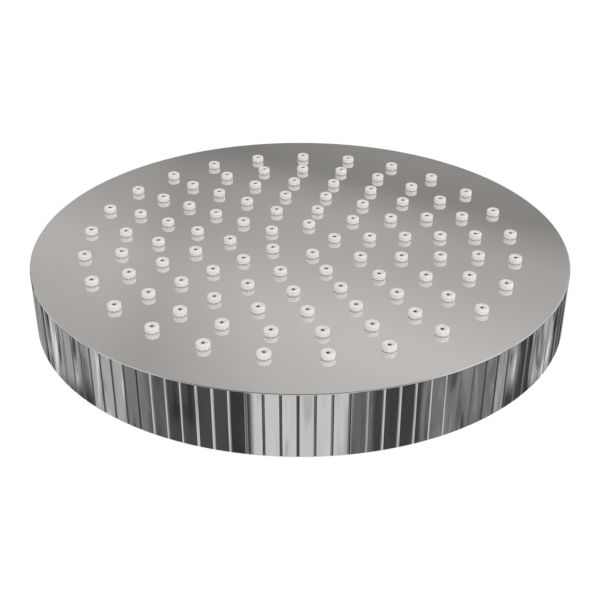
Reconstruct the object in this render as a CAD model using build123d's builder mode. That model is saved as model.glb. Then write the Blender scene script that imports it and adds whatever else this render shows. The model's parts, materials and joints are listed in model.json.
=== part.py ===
from build123d import *
import os
from math import cos, radians, sin, sqrt

os.makedirs("parts", exist_ok=True)

# A round rain shower head that hangs from a ball joint. Millimetres, +Z up, nozzles down.
# The origin is the middle of the inlet's mouth, where the shower arm screws in.

# Spray cup: face and grooved rim
head_diameter = 200.0
rim_height = 23.5
rim_wall = 4.0
face_thickness = 2.0
edge_break = 0.3
groove_count = 120
groove_width = 0.9
groove_depth = 0.2
cutter_overrun = 0.2

# Nozzles: each ring has five more than the one inside it, up to the fullest ring
nozzle_diameter = 4.8
nozzle_height = 2.2
nozzle_sides = 8
ring_count = 6
ring_step = 5
fullest_ring = 25
first_ring_radius = 13.0
outer_ring_inset = 19.75
nozzle_start_angle = 33.0

# Back cover, on a gasket on the cup's ledge, with the ball stem brazed into its middle
cover_thickness = 2.5
gasket_thickness = 1.0
ledge_width = 2.0
cover_clearance = 0.05
stem_radius = 5.5
water_bore_radius = 3.5
ball_top_land = 1.0

# Ball joint: how far it tilts, and the gaps that it needs
tilt_limit = 15.0
ball_clearance = 0.15
tilt_clearance = 0.4
seat_angle = 55.0

# Coupling nut, with the bore of a half-inch pipe thread
thread_radius = 9.315
thread_depth = 10.0
thread_relief = 1.285
nut_sides = 6
nut_wall = 2.4
nut_lip = 1.5
nut_edge_break = 0.8

# What goes in through the thread: ball, seal, washer, flow regulator and filter screen
entry_clearance = 0.315
insert_clearance = 0.1
seal_height = 3.0
washer_width = 1.5
regulator_seat = 0.5
regulator_height = 1.6
regulator_bore_radius = 1.6
screen_thickness = 0.4

# Radii round the nut's bore
relief_radius = thread_radius + thread_relief
nut_flat_radius = relief_radius + nut_wall
nut_corner_radius = nut_flat_radius / cos(radians(180 / nut_sides))
ball_radius = thread_radius - entry_clearance
ball_top_radius = water_bore_radius + ball_top_land
washer_radius = thread_radius - entry_clearance
washer_hole_radius = washer_radius - washer_width
insert_radius = washer_hole_radius - insert_clearance
seal_hole_radius = insert_radius - regulator_seat

# The ball bears on the seal's edge above and on the nut's cone below
tilt_sine = sin(radians(tilt_limit))
tilt_cosine = cos(radians(tilt_limit))
seat_sine = sin(radians(seat_angle))
seat_cosine = cos(radians(seat_angle))
bearing_radius = ball_radius + ball_clearance
seal_foot_height = sqrt(bearing_radius**2 - seal_hole_radius**2)
ball_top_height = sqrt(ball_radius**2 - ball_top_radius**2)
stem_top_depth = sqrt(ball_radius**2 - stem_radius**2)

# The nut's mouth is just wide enough for the stem at full tilt, and its lip then just clears the cover
mouth_slope = tilt_sine / (seat_cosine * tilt_cosine)
mouth_radius = (stem_radius / tilt_cosine + mouth_slope * bearing_radius + tilt_clearance) / (
    1 + mouth_slope * seat_sine
)
mouth_depth = (bearing_radius - mouth_radius * seat_sine) / seat_cosine
seat_top_depth = (bearing_radius - relief_radius * seat_sine) / seat_cosine
nut_foot_depth = mouth_depth + nut_lip
nut_foot_radius = (stem_radius + nut_foot_depth * tilt_sine) / tilt_cosine + tilt_clearance
cover_depth = nut_foot_depth * tilt_cosine + nut_corner_radius * tilt_sine + tilt_clearance

# Levels from the inlet's mouth down
washer_thickness = regulator_height + screen_thickness
washer_top_level = -thread_depth - insert_clearance
seal_top_level = washer_top_level - washer_thickness
seal_foot_level = seal_top_level - seal_height
ball_level = seal_foot_level - seal_foot_height
nut_foot_level = ball_level - nut_foot_depth
back_level = ball_level - cover_depth
gasket_top_level = back_level - cover_thickness
ledge_level = gasket_top_level - gasket_thickness
face_level = back_level - rim_height

# Radii of the cup's steps and of the nozzle rings
head_radius = head_diameter / 2
recess_radius = head_radius - rim_wall
chamber_radius = recess_radius - ledge_width
cover_radius = recess_radius - cover_clearance
ring_pitch = (head_radius - outer_ring_inset - first_ring_radius) / (ring_count - 1)

# Spray cup: a turned cup, open at the back, with V grooves up its rim to the edge break
with BuildPart() as spray_cup:
    with BuildSketch(Plane.XZ):
        with BuildLine():
            Polyline(
                (0, face_level),
                (head_radius - edge_break, face_level),
                (head_radius, face_level + edge_break),
                (head_radius, back_level),
                (recess_radius, back_level),
                (recess_radius, ledge_level),
                (chamber_radius, ledge_level),
                (chamber_radius, face_level + face_thickness),
                (0, face_level + face_thickness),
                close=True,
            )
        make_face()
    revolve(axis=Axis.Z)
    with BuildSketch(Plane.XY.offset(face_level + edge_break)):
        cutter_half_width = groove_width / 2 * (groove_depth + cutter_overrun) / groove_depth
        with PolarLocations(head_radius, groove_count):
            Polygon(
                (-groove_depth, 0),
                (cutter_overrun, -cutter_half_width),
                (cutter_overrun, cutter_half_width),
                align=None,
            )
    extrude(amount=rim_height, mode=Mode.SUBTRACT)
spray_cup.part.label = "spray_cup"
export_step(spray_cup.part, "parts/spray_cup.step")

# Silicone nozzles, seated on the face in rings
with BuildPart() as spray_nozzles:
    with BuildSketch(Plane.XY.offset(face_level)):
        for ring in range(ring_count):
            nozzles_in_ring = min(ring_step * (ring + 1), fullest_ring)
            ring_radius = first_ring_radius + ring * ring_pitch
            with PolarLocations(ring_radius, nozzles_in_ring, start_angle=nozzle_start_angle):
                RegularPolygon(nozzle_diameter / 2, nozzle_sides)
    extrude(amount=-nozzle_height)
spray_nozzles.part.label = "spray_nozzles"
export_step(spray_nozzles.part, "parts/spray_nozzles.step")

# Cover gasket, flat on the cup's ledge
with BuildPart() as cover_gasket:
    with BuildSketch(Plane.XY.offset(ledge_level)):
        Circle(cover_radius)
        Circle(chamber_radius, mode=Mode.SUBTRACT)
    extrude(amount=gasket_thickness)
cover_gasket.part.label = "cover_gasket"
export_step(cover_gasket.part, "parts/cover_gasket.step")

# Back cover: plate, stem and ball, with the water bore through all three
with BuildPart() as back_cover:
    ball_top = (ball_top_radius, ball_level + ball_top_height)
    ball_foot = (stem_radius, ball_level - stem_top_depth)
    with BuildSketch(Plane.XZ):
        with BuildLine():
            ThreePointArc(ball_top, (ball_radius, ball_level), ball_foot)
            Polyline(
                ball_foot,
                (stem_radius, back_level),
                (cover_radius, back_level),
                (cover_radius, gasket_top_level),
                (water_bore_radius, gasket_top_level),
                (water_bore_radius, ball_level + ball_top_height),
                ball_top,
            )
        make_face()
    revolve(axis=Axis.Z)
back_cover.part.label = "back_cover"
export_step(back_cover.part, "parts/back_cover.step")

# Coupling nut: hexagonal, threaded above, coned below to hold the ball
with BuildPart() as coupling_nut:
    with BuildSketch(Plane.XY.offset(nut_foot_level)):
        RegularPolygon(nut_flat_radius, nut_sides, major_radius=False)
    extrude(amount=-nut_foot_level)
    nut_ends = coupling_nut.faces().filter_by(Axis.Z)
    chamfer(nut_ends.edges(), nut_edge_break)
    with BuildSketch(Plane.XZ):
        with BuildLine():
            Polyline(
                (0, 0),
                (thread_radius, 0),
                (thread_radius, -thread_depth),
                (relief_radius, -thread_depth),
                (relief_radius, ball_level - seat_top_depth),
                (mouth_radius, ball_level - mouth_depth),
                (nut_foot_radius, nut_foot_level),
                (0, nut_foot_level),
                close=True,
            )
        make_face()
    revolve(axis=Axis.Z, mode=Mode.SUBTRACT)
coupling_nut.part.label = "coupling_nut"
export_step(coupling_nut.part, "parts/coupling_nut.step")

# Ball seal: a square-section ring whose inner edge bears on the ball
with BuildPart() as ball_seal:
    with BuildSketch(Plane.XY.offset(seal_foot_level)):
        Circle(relief_radius - insert_clearance)
        Circle(seal_hole_radius, mode=Mode.SUBTRACT)
    extrude(amount=seal_height)
ball_seal.part.label = "ball_seal"
export_step(ball_seal.part, "parts/ball_seal.step")

# Filter washer, on the seal, for the arm's end to press on
with BuildPart() as filter_washer:
    with BuildSketch(Plane.XY.offset(seal_top_level)):
        Circle(washer_radius)
        Circle(washer_hole_radius, mode=Mode.SUBTRACT)
    extrude(amount=washer_thickness)
filter_washer.part.label = "filter_washer"
export_step(filter_washer.part, "parts/filter_washer.step")

# Flow regulator: a disc with a metered bore, inside the washer
with BuildPart() as flow_regulator:
    with BuildSketch(Plane.XY.offset(seal_top_level)):
        Circle(insert_radius)
        Circle(regulator_bore_radius, mode=Mode.SUBTRACT)
    extrude(amount=regulator_height)
flow_regulator.part.label = "flow_regulator"
export_step(flow_regulator.part, "parts/flow_regulator.step")

# Filter screen: a strainer disc on the regulator
with BuildPart() as filter_screen:
    with BuildSketch(Plane.XY.offset(seal_top_level + regulator_height)):
        Circle(insert_radius)
    extrude(amount=screen_thickness)
filter_screen.part.label = "filter_screen"
export_step(filter_screen.part, "parts/filter_screen.step")
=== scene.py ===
"""A round rain shower head, dressed over its CAD frame and set in a small photo studio."""

import json
import math

import bmesh
import bpy
from mathutils import Matrix, Vector


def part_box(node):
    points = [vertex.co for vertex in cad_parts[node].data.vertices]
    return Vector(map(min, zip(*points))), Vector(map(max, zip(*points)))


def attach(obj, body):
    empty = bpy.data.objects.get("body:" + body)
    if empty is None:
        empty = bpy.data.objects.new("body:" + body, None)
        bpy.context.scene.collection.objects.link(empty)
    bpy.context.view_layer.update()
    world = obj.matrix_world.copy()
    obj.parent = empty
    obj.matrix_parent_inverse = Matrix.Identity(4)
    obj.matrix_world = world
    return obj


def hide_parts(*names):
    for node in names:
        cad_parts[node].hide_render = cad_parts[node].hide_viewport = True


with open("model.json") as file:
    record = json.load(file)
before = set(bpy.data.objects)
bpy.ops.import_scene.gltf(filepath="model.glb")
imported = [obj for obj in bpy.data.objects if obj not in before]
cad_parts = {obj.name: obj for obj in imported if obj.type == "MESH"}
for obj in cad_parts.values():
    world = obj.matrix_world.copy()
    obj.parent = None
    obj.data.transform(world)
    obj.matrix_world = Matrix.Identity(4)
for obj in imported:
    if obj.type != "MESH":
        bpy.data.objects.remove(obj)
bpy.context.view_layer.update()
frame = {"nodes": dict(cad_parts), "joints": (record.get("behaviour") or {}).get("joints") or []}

MM = 0.001
WELD = 0.002 * MM
X_AXIS = (1.0, 0.0, 0.0)
Y_AXIS = (0.0, 1.0, 0.0)
Z_AXIS = (0.0, 0.0, 1.0)

# Sizes read from the frame
cup_low, cup_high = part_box("spray_cup")
cover_low, cover_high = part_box("back_cover")
nut_low, nut_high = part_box("coupling_nut")
HEAD_RADIUS = cup_high.x
FACE_LEVEL = cup_low.z
BACK_LEVEL = cup_high.z
NOZZLE_HEIGHT = FACE_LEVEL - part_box("spray_nozzles")[0].z
COVER_RADIUS = cover_high.x
COVER_FOOT = cover_low.z
BALL_TOP = cover_high.z
LEDGE_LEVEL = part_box("cover_gasket")[0].z
NUT_FOOT = nut_low.z
NUT_CORNER_RADIUS = nut_high.x
BALL_LEVEL = next(joint["pos_m"][2] for joint in frame["joints"] if joint["name"] == "tilt")

# Cup: grooved rim, edges and inner steps
GROOVE_COUNT = 120
GROOVE_WIDTH = 0.9 * MM
GROOVE_DEPTH = 0.2 * MM
GROOVE_BLUNT = 0.008 * MM
GROOVE_EDGE = 0.04 * MM
LAND_STEPS = 6
EDGE_ROUND = 0.3 * MM
EDGE_STEPS = 4
BACK_CHAMFER = 0.15 * MM
COVER_CLEARANCE = 0.05 * MM
LEDGE_WIDTH = 2.0 * MM
FACE_THICKNESS = 2.0 * MM
RECESS_RADIUS = COVER_RADIUS + COVER_CLEARANCE
CHAMBER_RADIUS = RECESS_RADIUS - LEDGE_WIDTH

# Nozzles: rings on the face, and the shape of one button with its stem
RING_SIZES = (5, 10, 15, 20, 25, 25)
FIRST_RING_RADIUS = 13.0 * MM
RING_PITCH = 13.45 * MM
NOZZLE_START_ANGLE = math.radians(33.0)
NOZZLE_SIDES = 28
NOZZLE_RADIUS = 2.4 * MM
NOZZLE_FOOT_RADIUS = 2.1 * MM
NOZZLE_FOOT_HEIGHT = 0.3 * MM
NOZZLE_TOP_ROUND = 0.5 * MM
NOZZLE_ROUND_STEPS = 6
DISH_RADIUS = 1.45 * MM
DISH_DEPTH = 0.42 * MM
JET_RADIUS = 0.65 * MM
JET_LIP = 0.06 * MM
JET_TAPER = 0.15 * MM
JET_BORE_RADIUS = 1.45 * MM
NOZZLE_STEM_RADIUS = 1.75 * MM
NOZZLE_STEM_TAIL = 0.5 * MM
NOZZLE_HOLE_RADIUS = 1.8 * MM

# Back cover with its stem and ball
BALL_RADIUS = 9.0 * MM
BALL_STEPS = 32
BORE_RADIUS = 3.5 * MM
STEM_RADIUS = 5.5 * MM
BRAZE_FILLET = 0.8 * MM
FILLET_STEPS = 6
COVER_CHAMFER = 0.3 * MM

# Coupling nut with its ball seat and pipe thread
NUT_SIDES = 6
NUT_EDGE_BREAK = 0.8 * MM
NUT_FOOT_RADIUS = 7.9 * MM
MOUTH_RADIUS = 7.5 * MM
MOUTH_DEPTH = 5.24 * MM
RELIEF_RADIUS = 10.6 * MM
SEAT_TOP_DEPTH = 0.81 * MM
THREAD_LENGTH = 10.0 * MM
THREAD_MINOR_RADIUS = 9.315 * MM
THREAD_DEPTH = 1.162 * MM
THREAD_PITCH = 1.814 * MM
THREAD_STEPS = 12
ENTRY_CHAMFER = 1.0 * MM

# Points round a turned loop, and the angle in degrees from which a piece's edges show as sharp
TURNED_STEPS = 144
PLAIN_SHARP = 30
CUP_SHARP = 8
NOZZLE_SHARP = 35
COVER_SHARP = 12
NUT_SHARP = 28


def polar(radius, angle, level):
    """A point at an angle round the Z axis."""
    return (radius * math.cos(angle), radius * math.sin(angle), level)


def ring(radius, level, count=TURNED_STEPS):
    """A loop of points round the Z axis."""
    return [polar(radius, math.tau * step / count, level) for step in range(count)]


def arc(centre, radius, start, end, steps):
    """(radius, level) points of an arc in the XZ plane, with its angles in degrees from the X axis."""
    points = []
    for step in range(steps + 1):
        angle = math.radians(start + (end - start) * step / steps)
        points.append((centre[0] + radius * math.cos(angle), centre[1] + radius * math.sin(angle)))
    return points


def skin(loops, closed=False, capped=False):
    """Points and faces of a skin over equally long loops, closed into a ring or capped at both ends."""
    count = len(loops[0])
    points = [point for loop in loops for point in loop]
    faces = []
    last = len(loops) if closed else len(loops) - 1
    for index in range(last):
        low = index * count
        high = (index + 1) % len(loops) * count
        for here in range(count):
            there = (here + 1) % count
            faces.append((low + here, low + there, high + there, high + here))
    if capped:
        faces += [tuple(range(count)), tuple(range(len(points) - count, len(points)))]
    return points, faces


def join(shapes):
    """Points and faces of several shapes as one."""
    points, faces = [], []
    for shape_points, shape_faces in shapes:
        faces += [tuple(corner + len(points) for corner in face) for face in shape_faces]
        points += shape_points
    return points, faces


def add_piece(name, points, faces, material, sharp_degrees=PLAIN_SHARP):
    """A mesh object with smooth shading inside edges that are sharper than the given angle."""
    mesh = bpy.data.meshes.new(name)
    mesh.from_pydata(points, [], faces)
    shape = bmesh.new()
    shape.from_mesh(mesh)
    bmesh.ops.remove_doubles(shape, verts=shape.verts, dist=WELD)
    bmesh.ops.dissolve_degenerate(shape, edges=shape.edges, dist=WELD)
    bmesh.ops.recalc_face_normals(shape, faces=shape.faces)
    shape.to_mesh(mesh)
    shape.free()
    mesh.shade_smooth()
    mesh.set_sharp_from_angle(angle=math.radians(sharp_degrees))
    mesh.materials.append(material)
    piece = bpy.data.objects.new(name, mesh)
    bpy.context.scene.collection.objects.link(piece)
    return piece


# Materials: dark and light tones, and roughness from the smoothest to the roughest spot

METAL_TONES = ((0.83, 0.825, 0.815), (0.86, 0.855, 0.845))
CUP_ROUGHNESS = (0.03, 0.06)
FITTING_ROUGHNESS = (0.06, 0.14)
SILICONE_TONES = ((0.775, 0.742, 0.71), (0.825, 0.792, 0.76))
SILICONE_ROUGHNESS = (0.4, 0.55)
SILICONE_IOR = 1.41
RUBBER_TONES = ((0.018, 0.018, 0.018), (0.04, 0.04, 0.038))
RUBBER_ROUGHNESS = (0.55, 0.8)
PLASTIC_TONES = ((0.74, 0.74, 0.72), (0.8, 0.8, 0.78))
PLASTIC_ROUGHNESS = (0.35, 0.5)
# Dark between the wires as painted shade in the gaps, light on the wires
WIRE_TONE_AND_GAP_SHADE = ((0.5, (0.02, 0.02, 0.02)), (0.8, (0.6, 0.6, 0.58)))
WEAVE_METALLIC = 0.9
WEAVE_ROUGHNESS = 0.35
WIRE_SCALE = 400.0

# The range that most of a noise's values lie in
NOISE_LOW = 0.3
NOISE_HIGH = 0.7


def new_material(name):
    """A material with its nodes, links and main shader."""
    material = bpy.data.materials.new(name)
    material.use_nodes = True
    nodes = material.node_tree.nodes
    return material, nodes, material.node_tree.links, nodes["Principled BSDF"]


def add_noise(nodes, links, scale, detail=4.0, stretch=(1.0, 1.0, 1.0), swirl=0.0):
    """A noise texture fixed to the object, stretched along its axes and swirled."""
    place = nodes.new("ShaderNodeTexCoord")
    mapping = nodes.new("ShaderNodeMapping")
    mapping.inputs["Scale"].default_value = stretch
    noise = nodes.new("ShaderNodeTexNoise")
    noise.inputs["Scale"].default_value = scale
    noise.inputs["Detail"].default_value = detail
    noise.inputs["Distortion"].default_value = swirl
    links.new(place.outputs["Object"], mapping.inputs["Vector"])
    links.new(mapping.outputs["Vector"], noise.inputs["Vector"])
    return noise.outputs["Fac"]


def add_math(nodes, links, operation, first, second):
    """The result of an operation on two values."""
    calculation = nodes.new("ShaderNodeMath")
    calculation.operation = operation
    links.new(first, calculation.inputs[0])
    links.new(second, calculation.inputs[1])
    return calculation.outputs["Value"]


def add_ramp(nodes, links, source, stops):
    """A colour ramp over a value, from (position, colour) stops."""
    ramp = nodes.new("ShaderNodeValToRGB")
    elements = ramp.color_ramp.elements
    while len(elements) < len(stops):
        elements.new(0.5)
    for element, (position, colour) in zip(elements, stops):
        element.position = position
        element.color = (*colour, 1.0)
    links.new(source, ramp.inputs["Fac"])
    return ramp.outputs["Color"]


def add_range(nodes, links, source, start, end, low=0.0, high=1.0):
    """A value that goes from low to high while its source goes from start to end."""
    spread = nodes.new("ShaderNodeMapRange")
    spread.inputs["From Min"].default_value = start
    spread.inputs["From Max"].default_value = end
    spread.inputs["To Min"].default_value = low
    spread.inputs["To Max"].default_value = high
    links.new(source, spread.inputs["Value"])
    return spread.outputs["Result"]


def add_tones(nodes, links, shader, scale, tones):
    """A base colour that drifts between a dark and a light tone."""
    dark, light = tones
    drift = add_noise(nodes, links, scale)
    colour = add_ramp(nodes, links, drift, ((NOISE_LOW, dark), (NOISE_HIGH, light)))
    links.new(colour, shader.inputs["Base Color"])


def add_roughness(nodes, links, shader, source, roughness):
    """A roughness that follows a noise."""
    spread = add_range(nodes, links, source, NOISE_LOW, NOISE_HIGH, *roughness)
    links.new(spread, shader.inputs["Roughness"])


def add_bump(nodes, links, shader, source, distance, strength):
    """A bump on a shader, its height in metres."""
    bump = nodes.new("ShaderNodeBump")
    bump.inputs["Distance"].default_value = distance
    bump.inputs["Strength"].default_value = strength
    links.new(source, bump.inputs["Height"])
    links.new(bump.outputs["Normal"], shader.inputs["Normal"])


def polished_metal(name, roughness):
    """Mirror-polished plated metal with a faint cloudiness and slow waves from polishing."""
    material, nodes, links, shader = new_material(name)
    shader.inputs["Metallic"].default_value = 1.0
    add_tones(nodes, links, shader, scale=18.0, tones=METAL_TONES)
    smears = add_noise(nodes, links, scale=60.0, detail=6.0)
    add_roughness(nodes, links, shader, smears, roughness)
    waves = add_noise(nodes, links, scale=45.0, detail=1.0)
    add_bump(nodes, links, shader, waves, distance=0.02 * MM, strength=0.5)
    return material


def silicone(name):
    """Soft white silicone with a satin skin."""
    material, nodes, links, shader = new_material(name)
    add_tones(nodes, links, shader, scale=400.0, tones=SILICONE_TONES)
    grain = add_noise(nodes, links, scale=900.0)
    add_roughness(nodes, links, shader, grain, SILICONE_ROUGHNESS)
    add_bump(nodes, links, shader, grain, distance=0.02 * MM, strength=0.2)
    shader.inputs["IOR"].default_value = SILICONE_IOR
    return material


def rubber(name):
    """Black moulded rubber."""
    material, nodes, links, shader = new_material(name)
    add_tones(nodes, links, shader, scale=500.0, tones=RUBBER_TONES)
    grain = add_noise(nodes, links, scale=4000.0)
    add_roughness(nodes, links, shader, grain, RUBBER_ROUGHNESS)
    add_bump(nodes, links, shader, grain, distance=0.03 * MM, strength=0.5)
    return material


def white_plastic(name):
    """Moulded white plastic."""
    material, nodes, links, shader = new_material(name)
    add_tones(nodes, links, shader, scale=300.0, tones=PLASTIC_TONES)
    grain = add_noise(nodes, links, scale=2500.0)
    add_roughness(nodes, links, shader, grain, PLASTIC_ROUGHNESS)
    return material


def add_wires(nodes, links, direction):
    """Waves along one axis, as wires side by side."""
    place = nodes.new("ShaderNodeTexCoord")
    wires = nodes.new("ShaderNodeTexWave")
    wires.bands_direction = direction
    wires.inputs["Scale"].default_value = WIRE_SCALE
    links.new(place.outputs["Object"], wires.inputs["Vector"])
    return wires.outputs["Fac"]


def woven_steel(name):
    """Fine woven wire: two sets of waves across each other, painted dark between the wires as painted
    shade in the gaps.
    """
    material, nodes, links, shader = new_material(name)
    warp = add_wires(nodes, links, "X")
    weft = add_wires(nodes, links, "Y")
    weave = add_math(nodes, links, "MAXIMUM", warp, weft)
    links.new(add_ramp(nodes, links, weave, WIRE_TONE_AND_GAP_SHADE), shader.inputs["Base Color"])
    shader.inputs["Metallic"].default_value = WEAVE_METALLIC
    shader.inputs["Roughness"].default_value = WEAVE_ROUGHNESS
    add_bump(nodes, links, shader, weave, distance=0.1 * MM, strength=0.8)
    return material


cup_metal = polished_metal("cup_metal", CUP_ROUGHNESS)
fitting_metal = polished_metal("fitting_metal", FITTING_ROUGHNESS)
white_silicone = silicone("white_silicone")
black_rubber = rubber("black_rubber")
steel_mesh = woven_steel("steel_mesh")
moulded_plastic = white_plastic("moulded_plastic")


# Pieces of the head


def rim_loop(radius, level, groove_depth=0.0):
    """A round loop with points at every groove: its edges, its blunt bottom and the land after it."""
    half = GROOVE_WIDTH / 2
    flank_top = half - GROOVE_EDGE
    flank_depth = groove_depth * GROOVE_EDGE / half
    land_start = (half + GROOVE_EDGE) / HEAD_RADIUS
    pitch = math.tau / GROOVE_COUNT
    groove_points = [
        (-flank_top, flank_depth),
        (-GROOVE_BLUNT, groove_depth),
        (GROOVE_BLUNT, groove_depth),
        (flank_top, flank_depth),
    ]
    points = []
    for groove in range(GROOVE_COUNT):
        middle = groove * pitch
        for along, depth in groove_points:
            points.append(polar(radius - depth, middle + along / HEAD_RADIUS, level))
        for step in range(LAND_STEPS + 1):
            share = step / LAND_STEPS
            points.append(polar(radius, middle + land_start + share * (pitch - 2 * land_start), level))
    return points


def nozzle_places():
    """Where the nozzles' axes meet the face, ring by ring."""
    places = []
    for ring_index, ring_size in enumerate(RING_SIZES):
        ring_radius = FIRST_RING_RADIUS + ring_index * RING_PITCH
        for place in range(ring_size):
            angle = NOZZLE_START_ANGLE + math.tau * place / ring_size
            places.append(polar(ring_radius, angle, FACE_LEVEL))
    return places


def turned_at(place, profile, **ends):
    """Points and faces of a (radius, height above the face) profile turned round a nozzle's axis."""
    loops = []
    for radius, height in profile:
        circle = ring(radius, -height, NOZZLE_SIDES)
        loops.append([tuple(Vector(place) + Vector(point)) for point in circle])
    return skin(loops, **ends)


def cut_nozzle_holes(cup):
    """Holes through the face for the nozzles' stems."""
    drill = [(NOZZLE_HOLE_RADIUS, FACE_THICKNESS), (NOZZLE_HOLE_RADIUS, -2 * FACE_THICKNESS)]
    holes = join([turned_at(place, drill, capped=True) for place in nozzle_places()])
    drills = add_piece("drills", *holes, cup_metal)
    cut = cup.modifiers.new("nozzle_holes", "BOOLEAN")
    cut.object = drills
    drilled = bpy.data.meshes.new_from_object(cup.evaluated_get(bpy.context.evaluated_depsgraph_get()))
    cup.modifiers.remove(cut)
    cup.data = drilled
    cup.data.set_sharp_from_angle(angle=math.radians(CUP_SHARP))
    bpy.data.objects.remove(drills)


def build_cup():
    """The spray cup: mirror face, rounded edge, grooved rim, and the recess for the cover."""
    edge_middle = (HEAD_RADIUS - EDGE_ROUND, FACE_LEVEL + EDGE_ROUND)
    edge = arc(edge_middle, EDGE_ROUND, -90, 0, EDGE_STEPS)
    loops = [rim_loop(radius, level) for radius, level in edge]
    loops += [
        rim_loop(HEAD_RADIUS, FACE_LEVEL + EDGE_ROUND, GROOVE_DEPTH),
        rim_loop(HEAD_RADIUS, BACK_LEVEL - BACK_CHAMFER, GROOVE_DEPTH),
        rim_loop(HEAD_RADIUS - BACK_CHAMFER, BACK_LEVEL, GROOVE_DEPTH - BACK_CHAMFER),
        rim_loop(RECESS_RADIUS, BACK_LEVEL),
        rim_loop(RECESS_RADIUS, LEDGE_LEVEL),
        rim_loop(CHAMBER_RADIUS, LEDGE_LEVEL),
        rim_loop(CHAMBER_RADIUS, FACE_LEVEL + FACE_THICKNESS),
    ]
    cup = add_piece("polished_cup", *skin(loops, capped=True), cup_metal, CUP_SHARP)
    cut_nozzle_holes(cup)
    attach(cup, "head")
    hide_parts("spray_cup")


def nozzle_profile():
    """(radius, height above the face) round a nozzle's wall: stem, button, dished top, jet and bore."""
    shoulder = NOZZLE_HEIGHT - NOZZLE_TOP_ROUND
    tail = -FACE_THICKNESS - NOZZLE_STEM_TAIL
    dish_floor = NOZZLE_HEIGHT - DISH_DEPTH
    profile = [
        (JET_BORE_RADIUS, tail),
        (NOZZLE_STEM_RADIUS, tail),
        (NOZZLE_STEM_RADIUS, 0.0),
        (NOZZLE_FOOT_RADIUS, 0.0),
        (NOZZLE_RADIUS, NOZZLE_FOOT_HEIGHT),
    ]
    round_middle = (NOZZLE_RADIUS - NOZZLE_TOP_ROUND, shoulder)
    profile += arc(round_middle, NOZZLE_TOP_ROUND, 0, 90, NOZZLE_ROUND_STEPS)
    profile += [
        (DISH_RADIUS, NOZZLE_HEIGHT),
        (JET_RADIUS, dish_floor),
        (JET_RADIUS, dish_floor - JET_LIP),
        (JET_BORE_RADIUS, dish_floor - JET_LIP - JET_TAPER),
    ]
    return profile


def build_nozzles():
    """The silicone nozzles: stems through the face, buttons on it, and a jet through each."""
    profile = nozzle_profile()
    nozzles = join([turned_at(place, profile, closed=True) for place in nozzle_places()])
    buttons = add_piece("silicone_nozzles", *nozzles, white_silicone, NOZZLE_SHARP)
    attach(buttons, "head")
    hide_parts("spray_nozzles")


def build_cover():
    """The back cover with its brazed stem and ball, turned with the water bore through it."""
    ball_foot_angle = -math.degrees(math.acos(STEM_RADIUS / BALL_RADIUS))
    ball_top_angle = math.degrees(math.asin((BALL_TOP - BALL_LEVEL) / BALL_RADIUS))
    fillet_middle = (STEM_RADIUS + BRAZE_FILLET, BACK_LEVEL + BRAZE_FILLET)
    profile = [
        (BORE_RADIUS, COVER_FOOT),
        (COVER_RADIUS, COVER_FOOT),
        (COVER_RADIUS, BACK_LEVEL - COVER_CHAMFER),
        (COVER_RADIUS - COVER_CHAMFER, BACK_LEVEL),
    ]
    profile += arc(fillet_middle, BRAZE_FILLET, 270, 180, FILLET_STEPS)
    profile += arc((0.0, BALL_LEVEL), BALL_RADIUS, ball_foot_angle, ball_top_angle, BALL_STEPS)
    profile.append((BORE_RADIUS, BALL_TOP))
    loops = [ring(radius, level) for radius, level in profile]
    cover = add_piece("polished_cover", *skin(loops, closed=True), fitting_metal, COVER_SHARP)
    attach(cover, "head")
    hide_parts("back_cover")


def hexagon(corner_radius, level):
    """A hexagonal loop with a corner on the X axis and as many points as a turned loop."""
    side_angle = math.tau / NUT_SIDES
    flat_radius = corner_radius * math.cos(side_angle / 2)
    points = []
    for step in range(TURNED_STEPS):
        angle = math.tau * step / TURNED_STEPS
        from_flat = angle % side_angle - side_angle / 2
        points.append(polar(flat_radius / math.cos(from_flat), angle, level))
    return points


def thread_loop(level):
    """A loop of the inlet's bore: the pipe thread's rounded wave, widened at the entry chamfer."""
    entry_radius = THREAD_MINOR_RADIUS + ENTRY_CHAMFER + level
    points = []
    for step in range(TURNED_STEPS):
        turn = step / TURNED_STEPS
        wave = 0.5 - 0.5 * math.cos(math.tau * (level / THREAD_PITCH - turn))
        thread_radius = THREAD_MINOR_RADIUS + THREAD_DEPTH * wave
        points.append(polar(max(thread_radius, entry_radius), math.tau * turn, level))
    return points


def build_nut():
    """The coupling nut: hexagon, ball seat, relief and pipe thread."""
    corner_break = NUT_EDGE_BREAK / math.cos(math.pi / NUT_SIDES)
    loops = [
        hexagon(NUT_CORNER_RADIUS - corner_break, 0.0),
        hexagon(NUT_CORNER_RADIUS, -NUT_EDGE_BREAK),
        hexagon(NUT_CORNER_RADIUS, NUT_FOOT + NUT_EDGE_BREAK),
        hexagon(NUT_CORNER_RADIUS - corner_break, NUT_FOOT),
        ring(NUT_FOOT_RADIUS, NUT_FOOT),
        ring(MOUTH_RADIUS, BALL_LEVEL - MOUTH_DEPTH),
        ring(RELIEF_RADIUS, BALL_LEVEL - SEAT_TOP_DEPTH),
        ring(RELIEF_RADIUS, -THREAD_LENGTH),
    ]
    thread_rows = round(THREAD_STEPS * THREAD_LENGTH / THREAD_PITCH)
    loops += [thread_loop(-THREAD_LENGTH * (1 - row / thread_rows)) for row in range(thread_rows + 1)]
    nut = add_piece("threaded_nut", *skin(loops, closed=True), fitting_metal, NUT_SHARP)
    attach(nut, "inlet")
    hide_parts("coupling_nut")


def dress_cad_nodes():
    """Materials for the small inner pieces, whose CAD shapes stay."""
    dress = {
        "cover_gasket": black_rubber,
        "ball_seal": black_rubber,
        "filter_washer": black_rubber,
        "filter_screen": steel_mesh,
        "flow_regulator": moulded_plastic,
    }
    for node, material in dress.items():
        frame["nodes"][node].data.materials.clear()
        frame["nodes"][node].data.materials.append(material)


# Studio: floor, apron, graduated sheet, drum of cards, ceiling, sun and world

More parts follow.
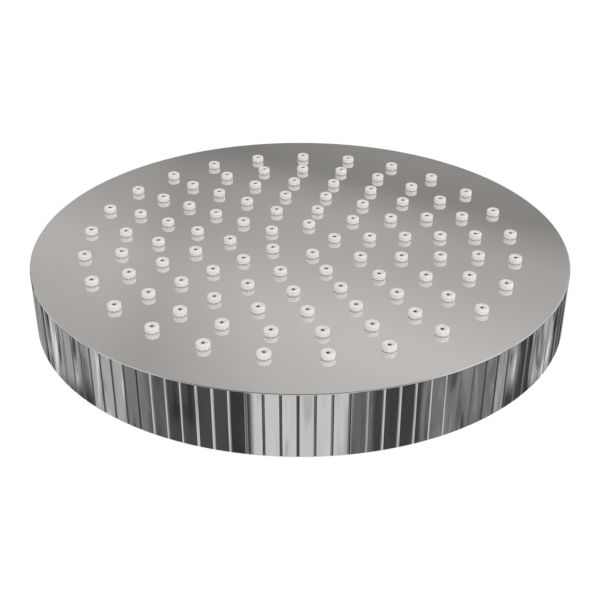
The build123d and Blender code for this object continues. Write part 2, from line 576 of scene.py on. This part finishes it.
FLOOR_LEVEL = -0.6
FLOOR_SIZE = 60.0
FLOOR_TONES = ((0.78, 0.77, 0.76), (0.8, 0.79, 0.78))
FLOOR_ROUGHNESS = 0.8

# Ambient light: by height, from straight below to straight above, and stronger from one side
AMBIENT_TONES = ((0.15, 0.48), (0.42, 1.0), (0.5, 1.0), (0.6, 0.35))
AMBIENT_SIDE = (-0.75, -0.66, 0.0)
AMBIENT_RANGE = (0.97, 2.1)

# Light from above
SUN_STRENGTH = 1.7
SUN_WIDTH = math.radians(10.0)
SUN_DIRECTION = (0.15, 0.3, -1.0)

# The sheet is slightly larger than the face's mirror image on it, and graded across that image as a glow
# of painted light and painted shade
SHEET_LIFT = 0.01
SHEET_MIDDLE = (0.0, 1.06)
SHEET_RADIUS = 0.45
SHEET_IMAGE_SCALE = 4.0
SHEET_IMAGE_RADIUS = SHEET_IMAGE_SCALE * HEAD_RADIUS
SHEET_SLANT = (-0.53, 0.848, 0.0)
SHEET_TINT = (1.0, 0.965, 0.94)
SHEET_TONES = (
    (0.0, 0.53),
    (0.2, 0.61),
    (0.28, 0.61),
    (0.42, 0.51),
    (0.5, 0.465),
    (0.62, 0.43),
    (0.7, 0.365),
    (0.79, 0.27),
    (0.98, 0.3),
)
# The sheet's glow dims across X: a soft band of painted shade
SHEET_SHADE_BAND = ((0.38, 1.0), (0.55, 0.94), (0.65, 0.85), (0.75, 0.75), (0.84, 0.84))

# The apron glows only in reflections: dark under the head as a painted shadow, bright round it as painted
# light and less so further out, and brighter at both sides
APRON_LIFT = 0.005
APRON_RADIUS = 2.0
APRON_SHADOW_AND_LIGHT = ((0.17, 0.26), (0.2, 0.87), (0.45, 0.62))
APRON_SIDE_REACH = 1.0
APRON_SIDES = ((0.05, 1.4), (0.3, 1.0), (0.5, 0.55), (0.78, 0.55), (0.95, 1.55))

# Rows of points up the drum. Cards with a sine above REAR_START are dark from the third row to the
# fourth, as a band of painted shade
DRUM_RADIUS = 2.0
DRUM_LEVELS = (FLOOR_LEVEL, 1.25, 1.31, 1.6, 1.66, 3.0)
REAR_START = 0.1
REAR_PAINTED_SHADE = 0.06

# Cards stand side by side round the drum: each runs on to an angle from +X, in degrees, at one brightness
FIRST_CARD_ANGLE = 108
CARDS = (
    (113, 0.65),
    (119, 0.3),
    (136, 0.08),
    (158, 0.44),
    (168, 0.06),
    (182, 0.35),
    (219, 0.19),
    (240, 0.056),
    (249, 0.15),
    (289, 0.64),
    (299, 0.044),
    (325, 0.074),
    (335, 0.12),
    (346, 0.21),
    (367, 0.44),
    (373, 0.17),
    (397, 0.38),
    (410, 0.17),
    (468, 0.3),
)

# Dark cards are slightly blue
CARD_TINTS = ((0.05, (0.94, 1.0, 1.03)), (0.25, (0.99, 1.0, 1.01)), (0.7, (1.01, 1.0, 1.01)))

# Swirled streaks on the cards, faint on the near ones and strong on the far ones
STREAK_SCALE = 4.0
STREAK_DETAIL = 1.0
STREAK_STRETCH = (1.0, 1.0, 0.9)
STREAK_SWIRL = 1.5
STREAKS = ((0.3, 0.2), (0.43, 1.0), (0.58, 1.0), (0.7, 1.8))
STREAK_FOCUS = (0.2, 1.6)

# The ceiling lies on the drum and is graded along a slant
CEILING_SLANT = (0.6, 0.8, 0.0)
CEILING_TONES = ((0.2, 0.26), (0.8, 0.65))


def only_in_reflections(obj):
    """A stage object that shows in polished surfaces only, and doesn't light the head."""
    obj.visible_camera = False
    obj.visible_diffuse = False
    obj.visible_shadow = False
    obj.visible_transmission = False


def build_floor():
    """A plain pale floor."""
    material, nodes, links, shader = new_material("floor")
    add_tones(nodes, links, shader, scale=2.0, tones=FLOOR_TONES)
    shader.inputs["Roughness"].default_value = FLOOR_ROUGHNESS
    half = FLOOR_SIZE / 2
    square = ((-half, -half), (half, -half), (half, half), (-half, half))
    corners = [(x, y, FLOOR_LEVEL) for x, y in square]
    floor = add_piece("floor", corners, [(0, 1, 2, 3)], material)
    floor.visible_diffuse = False
    floor.visible_shadow = False


def glow_material(name):
    """An emitting material, no lamp of its own, with its nodes, links and emission shader."""
    material, nodes, links, shader = new_material(name)
    material.cycles.emission_sampling = "NONE"
    nodes.remove(shader)
    glow = nodes.new("ShaderNodeEmission")
    links.new(glow.outputs["Emission"], nodes["Material Output"].inputs["Surface"])
    return material, nodes, links, glow


def add_slope(nodes, links, direction, reach, low=0.0, high=1.0):
    """A value that climbs from low to high along a direction, from -reach to reach in metres."""
    place = nodes.new("ShaderNodeTexCoord")
    along = nodes.new("ShaderNodeVectorMath")
    along.operation = "DOT_PRODUCT"
    along.inputs[1].default_value = direction
    links.new(place.outputs["Object"], along.inputs[0])
    return add_range(nodes, links, along.outputs["Value"], -reach, reach, low, high)


def levels(stops):
    """Ramp stops of plain greys, from (position, level) pairs."""
    return [(position, (level,) * 3) for position, level in stops]


def add_disc(name, radius, middle, material):
    """A flat round piece of the studio that only shows in reflections."""
    corners = ring(radius, 0.0)
    disc = add_piece(name, corners, [tuple(range(len(corners)))], material)
    disc.location = middle
    only_in_reflections(disc)


def build_apron():
    """A round glowing apron on the floor, for the rounded edge of the face: a painted shadow under the
    head and painted light round it.
    """
    material, nodes, links, glow = glow_material("apron")
    place = nodes.new("ShaderNodeTexCoord")
    away = nodes.new("ShaderNodeVectorMath")
    away.operation = "LENGTH"
    links.new(place.outputs["Object"], away.inputs[0])
    outwards = add_range(nodes, links, away.outputs["Value"], 0.0, APRON_RADIUS)
    links.new(add_ramp(nodes, links, outwards, levels(APRON_SHADOW_AND_LIGHT)), glow.inputs["Color"])
    across = add_slope(nodes, links, X_AXIS, APRON_SIDE_REACH)
    links.new(add_ramp(nodes, links, across, levels(APRON_SIDES)), glow.inputs["Strength"])
    add_disc("apron", APRON_RADIUS, (0.0, 0.0, FLOOR_LEVEL + APRON_LIFT), material)


def build_sheet():
    """A graduated sheet for the mirror face: painted light, pale in front and darker behind, with a band
    of painted shade across it.
    """
    material, nodes, links, glow = glow_material("graduated_sheet")
    slant = add_slope(nodes, links, SHEET_SLANT, SHEET_IMAGE_RADIUS)
    tones = [(position, tuple(level * share for share in SHEET_TINT)) for position, level in SHEET_TONES]
    links.new(add_ramp(nodes, links, slant, tones), glow.inputs["Color"])
    across = add_slope(nodes, links, X_AXIS, SHEET_IMAGE_RADIUS)
    links.new(add_ramp(nodes, links, across, levels(SHEET_SHADE_BAND)), glow.inputs["Strength"])
    add_disc("graduated_sheet", SHEET_RADIUS, (*SHEET_MIDDLE, FLOOR_LEVEL + SHEET_LIFT), material)


def card_material():
    """A glow with the brightness of each card, tinted and streaked."""
    material, nodes, links, glow = glow_material("studio_cards")
    card = nodes.new("ShaderNodeAttribute")
    card.attribute_name = "brightness"
    streaks = add_noise(nodes, links, STREAK_SCALE, STREAK_DETAIL, STREAK_STRETCH, STREAK_SWIRL)
    streak_tones = add_ramp(nodes, links, streaks, levels(STREAKS))
    focus = add_slope(nodes, links, Y_AXIS, DRUM_RADIUS, *STREAK_FOCUS)
    focused = add_math(nodes, links, "POWER", streak_tones, focus)
    streaked = add_math(nodes, links, "MULTIPLY", card.outputs["Fac"], focused)
    links.new(streaked, glow.inputs["Strength"])
    links.new(add_ramp(nodes, links, card.outputs["Fac"], CARD_TINTS), glow.inputs["Color"])
    return material


def card_brightness(angle):
    """Brightness of the drum at an angle, halfway between two cards where they meet."""
    before = next(level for end, level in CARDS if angle <= end)
    after = next((level for end, level in CARDS if angle < end), CARDS[0][1])
    return (before + after) / 2


def build_drum():
    """Bright and dark cards round the head, which its rim mirrors."""
    points, brightness, faces = [], [], []
    for angle in range(FIRST_CARD_ANGLE, CARDS[-1][0] + 1):
        card = card_brightness(angle)
        # Rear cards get a band of painted shade in their upper rows
        above = REAR_PAINTED_SHADE if math.sin(math.radians(angle)) > REAR_START else card
        points += [polar(DRUM_RADIUS, math.radians(angle), level) for level in DRUM_LEVELS]
        brightness += [card, card, above, above, card, card]
    rows = len(DRUM_LEVELS)
    for foot in range(0, len(points) - rows, rows):
        faces += [(low, low + rows, low + rows + 1, low + 1) for low in range(foot, foot + rows - 1)]
    mesh = bpy.data.meshes.new("studio_cards")
    mesh.from_pydata(points, [], faces)
    mesh.attributes.new("brightness", "FLOAT", "POINT").data.foreach_set("value", brightness)
    mesh.materials.append(card_material())
    drum = bpy.data.objects.new("studio_cards", mesh)
    bpy.context.scene.collection.objects.link(drum)
    only_in_reflections(drum)


def build_ceiling():
    """A graded ceiling on the drum, which the head's back mirrors."""
    material, nodes, links, glow = glow_material("ceiling")
    slant = add_slope(nodes, links, CEILING_SLANT, DRUM_RADIUS)
    links.new(add_ramp(nodes, links, slant, levels(CEILING_TONES)), glow.inputs["Color"])
    add_disc("ceiling", DRUM_RADIUS, (0.0, 0.0, DRUM_LEVELS[-1]), material)


def add_sun():
    """A soft light from above, for the head's shadow on the floor."""
    data = bpy.data.lights.new("sun", "SUN")
    data.energy = SUN_STRENGTH
    data.angle = SUN_WIDTH
    sun = bpy.data.objects.new("sun", data)
    bpy.context.scene.collection.objects.link(sun)
    sun.rotation_euler = Vector(SUN_DIRECTION).to_track_quat("-Z", "Y").to_euler()
    sun.visible_glossy = False


def build_world():
    """White for what looks or mirrors straight into it, and a softer ambient light for the rest."""
    world = bpy.data.worlds.new("studio")
    bpy.context.scene.world = world
    world.use_nodes = True
    nodes, links = world.node_tree.nodes, world.node_tree.links
    white = nodes["Background"]
    white.inputs["Color"].default_value = (1.0, 1.0, 1.0, 1.0)
    ambient = nodes.new("ShaderNodeBackground")
    height = add_slope(nodes, links, Z_AXIS, 1.0)
    links.new(add_ramp(nodes, links, height, levels(AMBIENT_TONES)), ambient.inputs["Color"])
    links.new(add_slope(nodes, links, AMBIENT_SIDE, 1.0, *AMBIENT_RANGE), ambient.inputs["Strength"])
    path = nodes.new("ShaderNodeLightPath")
    seen = path.outputs["Is Camera Ray"]
    for kind in ("Is Glossy Ray", "Is Transmission Ray"):
        seen = add_math(nodes, links, "MAXIMUM", seen, path.outputs[kind])
    mix = nodes.new("ShaderNodeMixShader")
    links.new(seen, mix.inputs["Fac"])
    links.new(ambient.outputs["Background"], mix.inputs[1])
    links.new(white.outputs["Background"], mix.inputs[2])
    links.new(mix.outputs["Shader"], nodes["World Output"].inputs["Surface"])


# Camera: below the head and in front of it, pitched up, with the nozzles at the top of the picture

CAMERA_DISTANCE = 0.35444
CAMERA_DROP = 0.18083
CAMERA_PITCH = math.radians(30.235)
CAMERA_TURN = math.radians(-0.318)
CAMERA_ROLL = math.radians(0.058)
CAMERA_LENS = 62.9


def build_camera():
    """The photograph's camera, upside down against the hanging head."""
    data = bpy.data.cameras.new("camera")
    data.lens = CAMERA_LENS
    camera = bpy.data.objects.new("camera", data)
    bpy.context.scene.collection.objects.link(camera)
    right = Vector((-1.0, 0.0, 0.0))
    up = Vector((0.0, math.sin(CAMERA_PITCH), -math.cos(CAMERA_PITCH)))
    back = right.cross(up)
    aim = Matrix((right, up, back)).transposed().to_4x4() @ Matrix.Rotation(CAMERA_ROLL, 4, "Z")
    place = Matrix.Translation((0.0, -CAMERA_DISTANCE, FACE_LEVEL - CAMERA_DROP))
    camera.matrix_world = Matrix.Rotation(CAMERA_TURN, 4, "Z") @ place @ aim
    bpy.context.scene.camera = camera


build_cup()
build_nozzles()
build_cover()
build_nut()
dress_cad_nodes()

build_floor()
build_apron()
build_sheet()
build_drum()
build_ceiling()
add_sun()
build_world()
build_camera()
bpy.context.scene.view_settings.view_transform = "Standard"
